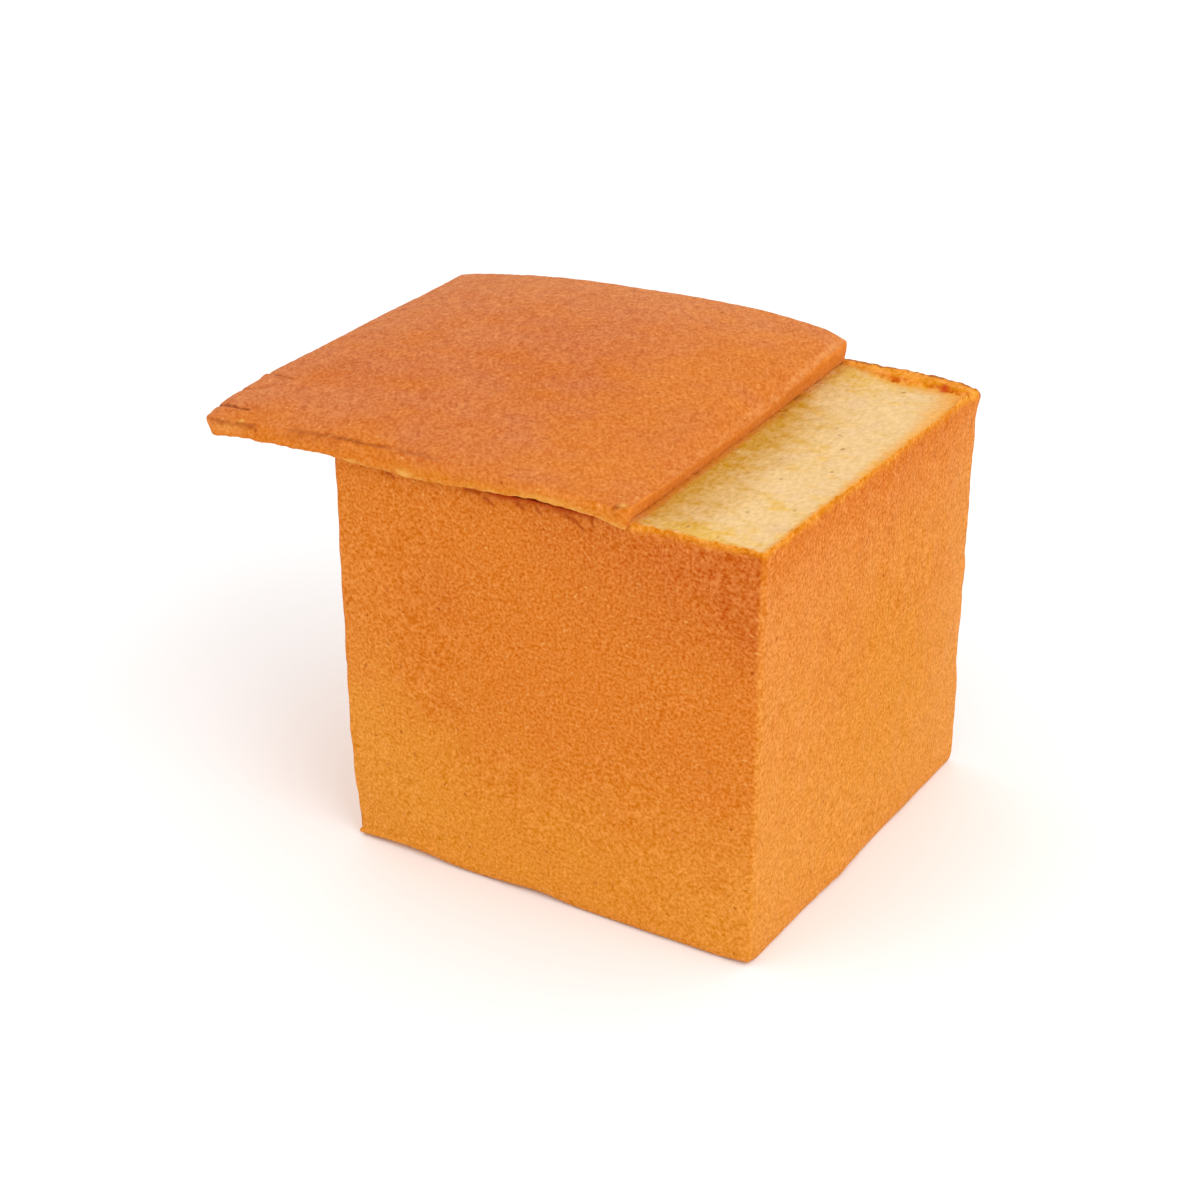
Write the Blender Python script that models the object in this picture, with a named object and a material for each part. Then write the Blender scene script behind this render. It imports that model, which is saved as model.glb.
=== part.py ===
"""A cube-shaped tin loaf whose top crust has been sliced off and slid aside.

Two solids stand in one frame: the loaf, with its knife-cut crumb on top, and the slice that rests on it.
Metres, +Z up. The origin is the middle of the loaf's base, +X its right-hand side and -Y its front.
"""

import math

import bmesh
import bpy

# The loaf, as the tin shaped it.
TOP_WIDTH = 0.1000  # across the loaf at the cut, along X and along Y
BASE_WIDTH = 0.0990  # the tin narrows a little towards its floor
BASE_TWIST = math.radians(-0.56)  # how far the base is turned under the top
CORNER_RADIUS = 0.0014  # the upright edges
FOOT_INSET = 0.0011  # how far the flat foot lies inside the walls
FOOT_HEIGHT = 0.0026  # height at which the foot's rounding meets the walls
WALL_SWELL = 0.0004  # the walls' outward bow at mid-height

# The knife's cut: its height at the loaf's four top corners.
CUT_FRONT_LEFT = 0.0926
CUT_FRONT_RIGHT = 0.0945
CUT_BACK_RIGHT = 0.0936
CUT_BACK_LEFT = 0.0919
RIM_ROUND = 0.0008  # rounding where the cut meets the crust
RIM_FRONT = 0.0014  # the browned rim around the crumb, on each side
RIM_RIGHT = 0.0030
RIM_BACK = 0.0044
RIM_LEFT = 0.0030
CRUMB_DROP = 0.0006  # how far the soft crumb sinks below that rim
CRUMB_SLOPE = 0.0012  # the width in which it does so

# The slice that was the loaf's top crust.
SLICE_WIDTH = 0.1017  # along X
SLICE_DEPTH = 0.1000  # along Y
SLICE_SHIFT = (-0.0306, -0.0030)  # from the loaf's middle to the slice's
SLICE_TURN = math.radians(0.95)
SLICE_GAP = 0.0003  # between the slice and the crust rim it rests on
EDGE_FRONT_LEFT = 0.0041  # the slice's thickness at its four corners
EDGE_FRONT_RIGHT = 0.0029
EDGE_BACK_RIGHT = 0.0057
EDGE_BACK_LEFT = 0.0030
RISE_FRONT = 0.0009  # how far the middle of each side stands above its corners
RISE_BACK = 0.0042
RISE_LEFT = 0.0011
RISE_RIGHT = -0.0004
CROWN = 0.0013  # further rise of the slice's very middle
TOP_ROUND = 0.0012  # rounding of the slice's upper edge
UNDER_ROUND = 0.0005  # rounding of its cut lower edge

# How finely the shapes are divided.
SIDE_STEPS = 9
CORNER_STEPS = 4
ARC_STEPS = 3
WALL_STEPS = 8
INNER_STEPS = 7

# The finish.
CRUST_COLOUR = (0.74, 0.24, 0.045, 1.0)
CRUST_ROUGHNESS = 0.75
SHARP_ANGLE = math.radians(40)  # edges sharper than this are not shaded smooth


def clear_scene():
    for obj in list(bpy.data.objects):
        bpy.data.objects.remove(obj)


def material(name, colour, roughness):
    made = bpy.data.materials.new(name)
    made.use_nodes = True
    shader = made.node_tree.nodes["Principled BSDF"]
    shader.inputs["Base Color"].default_value = colour
    shader.inputs["Roughness"].default_value = roughness
    shader.inputs["Metallic"].default_value = 0.0
    return made


def blend_corners(u, v, front_left, front_right, back_right, back_left):
    """Bilinear blend of four corner values, with u from -1 (left) to 1 and v from -1 (front) to 1."""
    right, back = (1 + u) / 2, (1 + v) / 2
    front = front_left * (1 - right) + front_right * right
    rear = back_left * (1 - right) + back_right * right
    return front * (1 - back) + rear * back


def cut_height(x, y):
    """Height of the knife's cut, carried on past the loaf's walls."""
    half = TOP_WIDTH / 2
    return blend_corners(
        x / half, y / half, CUT_FRONT_LEFT, CUT_FRONT_RIGHT, CUT_BACK_RIGHT, CUT_BACK_LEFT
    )


def flat_topped(t):
    """1 in the middle of a side, 0 at its ends, and flatter on top than a parabola."""
    return max(0.0, 1 - abs(t) ** 3)


def outline(half_x, half_y, radius, swell=0.0):
    """Rounded rectangle, counter-clockwise, whose sides bow outwards by swell."""
    points = []
    for quarter in range(4):
        turn = quarter * math.pi / 2
        along, across = (half_x, half_y) if quarter % 2 == 0 else (half_y, half_x)
        straight = along - radius
        # One side, running along local +x at local y = -across, and then its corner.
        side = []
        for i in range(SIDE_STEPS):
            t = -1 + 2 * i / SIDE_STEPS
            side.append((t * straight, -across - swell * (1 - t * t)))
        for i in range(CORNER_STEPS):
            angle = -math.pi / 2 + math.pi / 2 * i / CORNER_STEPS
            side.append(
                (straight + radius * math.cos(angle), -across + radius + radius * math.sin(angle))
            )
        cos, sin = math.cos(turn), math.sin(turn)
        points += [(x * cos - y * sin, x * sin + y * cos) for x, y in side]
    return points


def turned(points, angle):
    cos, sin = math.cos(angle), math.sin(angle)
    return [(x * cos - y * sin, x * sin + y * cos) for x, y in points]


def arc(steps, last=True):
    """Shares (across, up) of a quarter circle from (0, 0) to (1, 1), leaving its start upwards."""
    for i in range(steps + (1 if last else 0)):
        angle = math.pi / 2 * i / steps
        yield 1 - math.cos(angle), math.sin(angle)


def lofted(name, rings, closing_height, finish):
    """Joins rings of points from the lowest inner one to the last, which closes on a middle point."""
    bm = bmesh.new()
    loops = [[bm.verts.new(point) for point in ring] for ring in rings]
    count = len(loops[0])
    for lower, upper in zip(loops, loops[1:]):
        for i in range(count):
            j = (i + 1) % count
            bm.faces.new((lower[i], lower[j], upper[j], upper[i]))
    bm.faces.new(list(reversed(loops[0])))
    middle = bm.verts.new((0.0, 0.0, closing_height))
    for i in range(count):
        bm.faces.new((loops[-1][i], loops[-1][(i + 1) % count], middle))
    mesh = bpy.data.meshes.new(name)
    bm.to_mesh(mesh)
    bm.free()
    mesh.shade_smooth()
    mesh.set_sharp_from_angle(angle=SHARP_ANGLE)
    mesh.materials.append(finish)
    obj = bpy.data.objects.new(name, mesh)
    bpy.context.scene.collection.objects.link(obj)
    return obj


def inset_outline(width, depth, inset):
    """The outline moved inwards by inset, with its corners kept round."""
    half_x, half_y = width / 2 - inset, depth / 2 - inset
    radius = min(max(CORNER_RADIUS - inset, CORNER_RADIUS / 4), half_x / 2)
    return outline(half_x, half_y, radius)


def crumb_outline(inset):
    """The crumb's edge inside the rim, whose width differs from side to side, moved inwards by inset."""
    middle_x, middle_y = (RIM_LEFT - RIM_RIGHT) / 2, (RIM_FRONT - RIM_BACK) / 2
    width = TOP_WIDTH - RIM_LEFT - RIM_RIGHT
    depth = TOP_WIDTH - RIM_FRONT - RIM_BACK
    return [(x + middle_x, y + middle_y) for x, y in inset_outline(width, depth, inset)]


def loaf_rings():
    """The loaf's skin, from its flat foot up the walls and over the cut to the crumb."""
    rings = []
    for across, up in arc(ARC_STEPS, last=False):
        # The quarter runs from the foot's rim outwards and then up into the wall.
        inset = FOOT_INSET * (1 - up)
        height = FOOT_HEIGHT * across
        ring = turned(inset_outline(BASE_WIDTH, BASE_WIDTH, inset), BASE_TWIST)
        rings.append([(x, y, height) for x, y in ring])
    for level in range(WALL_STEPS + 1):
        share = level / WALL_STEPS
        half = (BASE_WIDTH + (TOP_WIDTH - BASE_WIDTH) * share) / 2
        swell = WALL_SWELL * math.sin(math.pi * share)
        ring = turned(outline(half, half, CORNER_RADIUS, swell), BASE_TWIST * (1 - share))
        top = [cut_height(x, y) - RIM_ROUND for x, y in ring]
        rings.append(
            [(x, y, FOOT_HEIGHT + (z - FOOT_HEIGHT) * share) for (x, y), z in zip(ring, top)]
        )
    for across, up in list(arc(ARC_STEPS))[1:]:
        ring = inset_outline(TOP_WIDTH, TOP_WIDTH, RIM_ROUND * across)
        rings.append([(x, y, cut_height(x, y) - RIM_ROUND * (1 - up)) for x, y in ring])
    rings.append([(x, y, cut_height(x, y)) for x, y in crumb_outline(0)])
    for step in range(INNER_STEPS):
        inset = CRUMB_SLOPE + (TOP_WIDTH / 2 - RIM_BACK - CRUMB_SLOPE) * step / INNER_STEPS
        rings.append([(x, y, cut_height(x, y) - CRUMB_DROP) for x, y in crumb_outline(inset)])
    return rings


def make_loaf(finish):
    return lofted("loaf", loaf_rings(), cut_height(0, 0) - CRUMB_DROP, finish)


def on_loaf(x, y):
    """A point of the slice's own plan, carried to where the slice lies on the loaf."""
    [(x, y)] = turned([(x, y)], SLICE_TURN)
    return x + SLICE_SHIFT[0], y + SLICE_SHIFT[1]


def slice_underside(x, y):
    return cut_height(*on_loaf(x, y)) + SLICE_GAP


def slice_top(x, y):
    """The baked upper surface: the corners' thickness, the sides' rise and a low crown."""
    u, v = 2 * x / SLICE_WIDTH, 2 * y / SLICE_DEPTH
    thickness = blend_corners(
        u, v, EDGE_FRONT_LEFT, EDGE_FRONT_RIGHT, EDGE_BACK_RIGHT, EDGE_BACK_LEFT
    )
    over_x, over_y = flat_topped(u), flat_topped(v)
    rise = over_x * (RISE_FRONT * (1 - v) + RISE_BACK * (1 + v)) / 2
    rise += over_y * (RISE_LEFT * (1 - u) + RISE_RIGHT * (1 + u)) / 2
    return slice_underside(x, y) + thickness + rise + CROWN * over_x * over_y


def slice_rings():
    """The slice's skin, from its flat underside out to the edge and back over the baked top."""
    rings = []
    for step in range(1, INNER_STEPS):
        inset = SLICE_DEPTH / 2 * (1 - step / INNER_STEPS)
        ring = inset_outline(SLICE_WIDTH, SLICE_DEPTH, inset)
        rings.append([(x, y, slice_underside(x, y)) for x, y in ring])
    for across, up in arc(ARC_STEPS):
        ring = inset_outline(SLICE_WIDTH, SLICE_DEPTH, UNDER_ROUND * (1 - up))
        rings.append([(x, y, slice_underside(x, y) + UNDER_ROUND * across) for x, y in ring])
    for across, up in arc(ARC_STEPS):
        ring = inset_outline(SLICE_WIDTH, SLICE_DEPTH, TOP_ROUND * across)
        rings.append([(x, y, slice_top(x, y) - TOP_ROUND * (1 - up)) for x, y in ring])
    for step in range(1, INNER_STEPS):
        inset = TOP_ROUND + (SLICE_DEPTH / 2 - TOP_ROUND) * step / INNER_STEPS
        ring = inset_outline(SLICE_WIDTH, SLICE_DEPTH, inset)
        rings.append([(x, y, slice_top(x, y)) for x, y in ring])
    return rings


def make_slice(finish):
    made = lofted("top_slice", slice_rings(), slice_top(0, 0), finish)
    made.location = (SLICE_SHIFT[0], SLICE_SHIFT[1], 0.0)
    made.rotation_euler = (0.0, 0.0, SLICE_TURN)
    return made


clear_scene()
crust = material("crust", CRUST_COLOUR, CRUST_ROUGHNESS)
make_loaf(crust)
make_slice(crust)
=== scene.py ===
"""Looks of a cube-shaped tin loaf whose baked top has been knifed off and slid aside.

Metres, +Z up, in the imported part's frame: the loaf's base is centred on the origin, its front faces -Y.
"""
import math
from functools import reduce

import bpy
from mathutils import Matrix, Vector


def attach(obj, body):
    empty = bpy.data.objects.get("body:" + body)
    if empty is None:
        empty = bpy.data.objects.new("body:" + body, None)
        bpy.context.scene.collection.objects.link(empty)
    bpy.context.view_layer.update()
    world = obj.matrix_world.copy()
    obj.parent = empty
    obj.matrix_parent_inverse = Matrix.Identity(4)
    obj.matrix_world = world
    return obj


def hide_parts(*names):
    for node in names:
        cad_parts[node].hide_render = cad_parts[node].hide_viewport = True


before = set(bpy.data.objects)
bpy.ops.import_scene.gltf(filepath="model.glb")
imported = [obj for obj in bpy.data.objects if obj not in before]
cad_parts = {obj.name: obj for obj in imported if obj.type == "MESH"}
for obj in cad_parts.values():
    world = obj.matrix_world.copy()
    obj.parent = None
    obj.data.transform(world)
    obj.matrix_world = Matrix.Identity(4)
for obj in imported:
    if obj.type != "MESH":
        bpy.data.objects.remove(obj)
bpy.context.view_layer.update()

# ------------------------------------------------------------------------------------------------
# The loaf: a cube of soft bread in a thin golden-orange crust, baked in a lidded square tin. The
# tin gives it flat walls and sharp upright edges. A knife has taken the top off, which leaves a
# narrow browned rim around pale, finely open crumb that has sunk a little as it dried.

LOAF_SIZES = {
    "Top width": 0.1000,
    "Base width": 0.0990,
    "Base twist": math.radians(-0.56),
    "Corner radius": 0.0012,
    "Foot inset": 0.0011,
    "Foot height": 0.0026,
    "Wall swell": 0.0004,
    "Cut height, front left": 0.0926,
    "Cut height, front right": 0.0945,
    "Cut height, back right": 0.0936,
    "Cut height, back left": 0.0919,
    "Rim rounding": 0.0008,
    "Rim width, front": 0.0003,
    "Rim width, right": 0.0006,
    "Rim narrowing, right": 0.0014,
    "Rim width, back": 0.0042,
    "Rim width, left": 0.0030,
    "Crumb drop": 0.0003,
    "Crumb drop, back": 0.0013,
    "Crumb slope": 0.0012,
    "Rim raggedness, broad": 0.0008,
    "Rim raggedness, fine": 0.0004,
    "Unevenness, broad": 0.00030,
    "Unevenness, middling": 0.00014,
    "Unevenness, fine": 0.00007,
    "Edge unevenness, broad": 0.00024,
    "Edge unevenness, fine": 0.00026,
    "Crumb unevenness": 0.00018,
    "Pore depth": 0.00050,
    "Wrinkle depth": 0.00030,
    "Gap depth": 0.0006,
    "Foot wear": 0.0002,
    "Foot wear, left": 0.0006,
}
LOAF_CELLS = {"Cells across": 130, "Cells deep": 132, "Cells high": 108}
CELL_SKEW = 0.17  # how much closer together the cells lie on the right, where the crumb shows
NOMINAL_HEIGHT = 0.0930  # the blank's height, before the cut's own slope is given to it


class Rule:
    """A number worked out afresh at every point. Arithmetic on rules adds the nodes that do it."""

    def __init__(self, socket):
        self.socket = socket
        self.tree = socket.id_data

    def by(self, operation, *others):
        step = self.tree.nodes.new("ShaderNodeMath")
        step.operation = operation
        for place, value in zip(step.inputs, (self, *others)):
            give(value, place)
        return Rule(step.outputs[0])

    def __add__(self, other):
        return self.by("ADD", other)

    def __sub__(self, other):
        return self.by("SUBTRACT", other)

    def __rsub__(self, other):
        return self.by("MULTIPLY_ADD", -1.0, other)

    def __mul__(self, other):
        return self.by("MULTIPLY", other)

    def __truediv__(self, other):
        return self.by("DIVIDE", other)

    def __pow__(self, other):
        return self.by("POWER", other)

    def __neg__(self):
        return self.by("MULTIPLY", -1.0)

    def __abs__(self):
        return self.by("ABSOLUTE")

    __radd__ = __add__
    __rmul__ = __mul__


def give(value, place):
    """Feeds a node's input with a rule, another node's socket or a plain value."""
    if isinstance(value, Rule):
        value = value.socket
    if isinstance(value, bpy.types.NodeSocket):
        place.id_data.links.new(value, place)
    else:
        place.default_value = value


def most(first, second):
    return first.by("MAXIMUM", second)


def least(first, second):
    return first.by("MINIMUM", second)


def hypotenuse(first, second):
    return (first * first + second * second).by("SQRT")


def eased(value, start, end, low=0.0, high=1.0):
    """Runs smoothly from low, where value is start, to high, where it is end, and is flat beyond."""
    step = value.tree.nodes.new("ShaderNodeMapRange")
    step.interpolation_type = "SMOOTHSTEP"
    for place, given in zip(step.inputs, (value, start, end, low, high)):
        give(given, place)
    return Rule(step.outputs[0])


def parts(vector):
    """The three numbers of a vector."""
    step = vector.id_data.nodes.new("ShaderNodeSeparateXYZ")
    give(vector, step.inputs[0])
    return [Rule(socket) for socket in step.outputs]


def joined(*numbers):
    """The vector of three numbers, one of which at least is a rule."""
    tree = next(number.tree for number in numbers if isinstance(number, Rule))
    step = tree.nodes.new("ShaderNodeCombineXYZ")
    for place, number in zip(step.inputs, numbers):
        give(number, place)
    return step.outputs[0]


SEED_STEPS = (7.31, 3.17, 5.53)  # how far on each further seed starts, along x, y and z
NOISE_SPREAD = 3.2  # stretches the noise, which keeps near 0.5, to about -1 to 1


def scaled(place, sizes, seed):
    """Place measured in lumps of the given sizes along x, y and z, from the seed's own start."""
    step = place.id_data.nodes.new("ShaderNodeVectorMath")
    step.operation = "MULTIPLY_ADD"
    give(place, step.inputs[0])
    step.inputs[1].default_value = [1 / size for size in sizes]
    step.inputs[2].default_value = [seed * along for along in SEED_STEPS]
    return step.outputs[0]


def lumps(place, size, seed, detail=1.0, stretch=(1, 1, 1)):
    """Even noise, mostly between -1 and 1, whose lumps are about size across."""
    step = place.id_data.nodes.new("ShaderNodeTexNoise")
    give(scaled(place, [size * more for more in stretch], seed), step.inputs["Vector"])
    step.inputs["Scale"].default_value = 1.0
    step.inputs["Detail"].default_value = detail
    step.inputs["Roughness"].default_value = 0.55
    return Rule(step.outputs[0]).by("MULTIPLY_ADD", NOISE_SPREAD, -NOISE_SPREAD / 2)


def spots(place, spacing, radius, seed, stretch=(1, 1, 1)):
    """1 in the middle of scattered spots, easing to 0 at their edges."""
    step = place.id_data.nodes.new("ShaderNodeTexVoronoi")
    give(scaled(place, [spacing * more for more in stretch], seed), step.inputs["Vector"])
    step.inputs["Scale"].default_value = 1.0
    return eased(Rule(step.outputs["Distance"]), radius / spacing, 0.15 * radius / spacing)


def new_shape(name, sizes):
    """An empty geometry tree with a named input for each size."""
    tree = bpy.data.node_groups.new(name, "GeometryNodeTree")
    tree.is_modifier = True
    for label, value in sizes.items():
        kind = "NodeSocketInt" if isinstance(value, int) else "NodeSocketFloat"
        tree.interface.new_socket(label, in_out="INPUT", socket_type=kind).default_value = value
    tree.interface.new_socket("Bread", in_out="OUTPUT", socket_type="NodeSocketGeometry")
    given = tree.nodes.new("NodeGroupInput")
    return tree, {label: Rule(given.outputs[label]) for label in sizes}


def blank_block(tree, cells):
    """A closed block of square cells from -1 to 1 each way, and its points' three coordinates."""
    block = tree.nodes.new("GeometryNodeMeshCube")
    block.inputs["Size"].default_value = (2, 2, 2)
    for axis, label in zip("XYZ", ("Cells across", "Cells deep", "Cells high")):
        give(cells[label] + 1, block.inputs["Vertices " + axis])
    where = tree.nodes.new("GeometryNodeInputPosition")
    return block.outputs["Mesh"], parts(where.outputs[0])


def gathered(share, gather):
    """Moves the block's cells closer together towards its edges, where the shape turns."""
    return share * (1 + gather - gather * share**8)


def rounded(inset, fall, inward, downward):
    """Rounds the edge between a level face and a wall, inset from the wall and fallen from the face."""
    across = most(1 - inset / inward, 0.0)
    along = most(1 - fall / downward, 0.0)
    reach = most(hypotenuse(across, along), 1.0)
    return (
        inset + inward * (across - across / reach),
        fall + downward * (along - along / reach),
    )


def round_corners(x, y, half_x, half_y, radius):
    """Rounds the plan's four corners, with every ring inside them rounded to match."""
    core_x, core_y = half_x - radius, half_y - radius
    over_x, over_y = most(abs(x) - core_x, 0.0), most(abs(y) - core_y, 0.0)
    share = most(over_x, over_y) / most(hypotenuse(over_x, over_y), 1e-7)
    return (
        (least(abs(x), core_x) + over_x * share) * x.by("SIGN"),
        (least(abs(y), core_y) + over_y * share) * y.by("SIGN"),
    )


def between_corners(right, back, size, label):
    """A size that is given for four corners, blended: right and back run from 0 to 1."""
    front = size[label + ", front left"] * (1 - right) + size[label + ", front right"] * right
    rear = size[label + ", back left"] * (1 - right) + size[label + ", back right"] * right
    return front * (1 - back) + rear * back


def cut_height(x, y, size):
    """Height of the knife's cut, carried on past the loaf's walls."""
    right, back = x / size["Top width"] + 0.5, y / size["Top width"] + 0.5
    return between_corners(right, back, size, "Cut height")


def turned(x, y, angle):
    cos, sin = angle.by("COSINE"), angle.by("SINE")
    return x * cos - y * sin, x * sin + y * cos


def moved(tree, geometry, place=None, offset=None):
    step = tree.nodes.new("GeometryNodeSetPosition")
    give(geometry, step.inputs["Geometry"])
    if place is not None:
        give(place, step.inputs["Position"])
    if offset is not None:
        give(offset, step.inputs["Offset"])
    return step.outputs[0]


def remembered(tree, geometry, name, value, kind="FLOAT"):
    """Keeps a value on the mesh's points, for the finish to read."""
    step = tree.nodes.new("GeometryNodeStoreNamedAttribute")
    step.data_type = kind
    give(geometry, step.inputs["Geometry"])
    step.inputs["Name"].default_value = name
    give(value, step.inputs["Value"])
    return step.outputs[0]


def recalled(tree, name):
    """A kept value, read again after the points have moved."""
    step = tree.nodes.new("GeometryNodeInputNamedAttribute")
    step.data_type = "FLOAT"
    step.inputs["Name"].default_value = name
    return Rule(step.outputs[0])


def patches(numbers, places):
    """The sum of soft-edged patches: each place gives its middle, then its reach, then its strength."""
    layers = []
    for *spans, strength in places:
        away = sum(
            ((number - middle) / reach) ** 2.0
            for number, middle, reach in zip(numbers, spans, spans[len(numbers) :])
        )
        layers.append(strength * (-away).by("EXPONENT"))
    return sum(layers)


def lined(x, y, start, end, reach, taper=0.0):
    """1 on the straight line from start to end, easing to 0 at reach from it.

    With taper the reach shrinks towards the line's end.
    """
    run_x, run_y = end[0] - start[0], end[1] - start[1]
    from_x, from_y = x - start[0], y - start[1]
    share = (from_x * run_x + from_y * run_y) / (run_x**2 + run_y**2)
    share = least(most(share, 0.0), 1.0)
    away = hypotenuse(from_x - share * run_x, from_y - share * run_y)
    return eased(away, reach * (1 - taper * share), 0.0)


def outwards(tree, amount):
    """The surface's own direction, times amount."""
    normal = tree.nodes.new("GeometryNodeInputNormal")
    step = tree.nodes.new("ShaderNodeVectorMath")
    step.operation = "SCALE"
    give(normal.outputs[0], step.inputs[0])
    give(amount, step.inputs["Scale"])
    return step.outputs[0]


def baked(tree, geometry, finish):
    """Ends a tree: realized, smooth and finished."""
    real = tree.nodes.new("GeometryNodeRealizeInstances")
    give(geometry, real.inputs[0])
    smooth = tree.nodes.new("GeometryNodeSetShadeSmooth")
    give(real.outputs[0], smooth.inputs[0])
    paint = tree.nodes.new("GeometryNodeSetMaterial")
    paint.inputs["Material"].default_value = finish
    give(smooth.outputs[0], paint.inputs["Geometry"])
    end = tree.nodes.new("NodeGroupOutput")
    give(paint.outputs[0], end.inputs[0])


def plain_piece(name, tree, sizes):
    """Runs a shape's tree once and keeps the result as a plain mesh."""
    maker = bpy.data.objects.new(name + "_maker", bpy.data.meshes.new(name + "_maker"))
    bpy.context.scene.collection.objects.link(maker)
    step = maker.modifiers.new("shape", "NODES")
    step.node_group = tree
    for item in tree.interface.items_tree:
        if item.in_out == "INPUT":
            step[item.identifier] = sizes[item.name]
    ready = bpy.context.evaluated_depsgraph_get()
    mesh = bpy.data.meshes.new_from_object(
        maker.evaluated_get(ready), preserve_all_data_layers=True, depsgraph=ready
    )
    maker.modifiers.remove(step)
    bpy.data.objects.remove(maker)
    mesh.name = name
    piece = bpy.data.objects.new(name, mesh)
    bpy.context.scene.collection.objects.link(piece)
    return piece


# On the front wall just under the slice, across and up: fine wrinkles pulled in the crust by the
# knife, and the torn hollow below the slice's raised lip.
WRINKLES = (
    ((-0.0370, 0.0912), (-0.0350, 0.0908)),
    ((-0.0180, 0.0920), (-0.0120, 0.0925)),
    ((-0.0130, 0.0911), (-0.0108, 0.0900)),
    ((-0.0053, 0.0919), (-0.0039, 0.0911)),
    ((-0.0010, 0.0916), (0.0002, 0.0908)),
    ((0.0058, 0.0918), (0.0080, 0.0911)),
    ((0.0080, 0.0911), (0.0097, 0.0896)),
    ((0.0116, 0.0925), (0.0118, 0.0909)),
)
UNDER_GAP = ((-0.0120, 0.0930), (0.0120, 0.0936))
# Where the walls bulge or dip along the upright edges and the foot: the middle along x, y and z, the
# reach along x, y and z, and the height.
WALL_BULGES = (
    (0.050, 0.050, 0.0915, 0.006, 0.006, 0.004, 0.0007),
    (0.050, 0.050, 0.0690, 0.010, 0.010, 0.013, -0.0002),
    (0.050, 0.050, 0.0560, 0.010, 0.010, 0.005, -0.0002),
    (0.050, 0.050, 0.0280, 0.012, 0.012, 0.006, -0.0005),
    (0.050, -0.010, 0.0040, 0.006, 0.010, 0.005, 0.0007),
    (0.050, 0.022, 0.0050, 0.006, 0.007, 0.005, 0.0005),
    (-0.050, -0.050, 0.0040, 0.012, 0.012, 0.010, -0.0013),
    (-0.050, -0.050, 0.0360, 0.014, 0.014, 0.011, 0.0003),
    (-0.050, -0.050, 0.0620, 0.012, 0.012, 0.007, 0.0002),
)
# Where the foot's front edge is worn up: the middle and the reach along x, and the height.
FOOT_WEAR = (
    (-0.040, 0.008, 0.0005),
    (-0.031, 0.007, 0.0006),
    (-0.010, 0.006, 0.0003),
    (-0.002, 0.006, 0.0008),
    (0.048, 0.004, 0.0006),
)
WORN_CORNER = ((0.051, 0.052, 0.006, 0.006, 0.0026),)  # at the top's back right: x, y, reaches, depth


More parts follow.
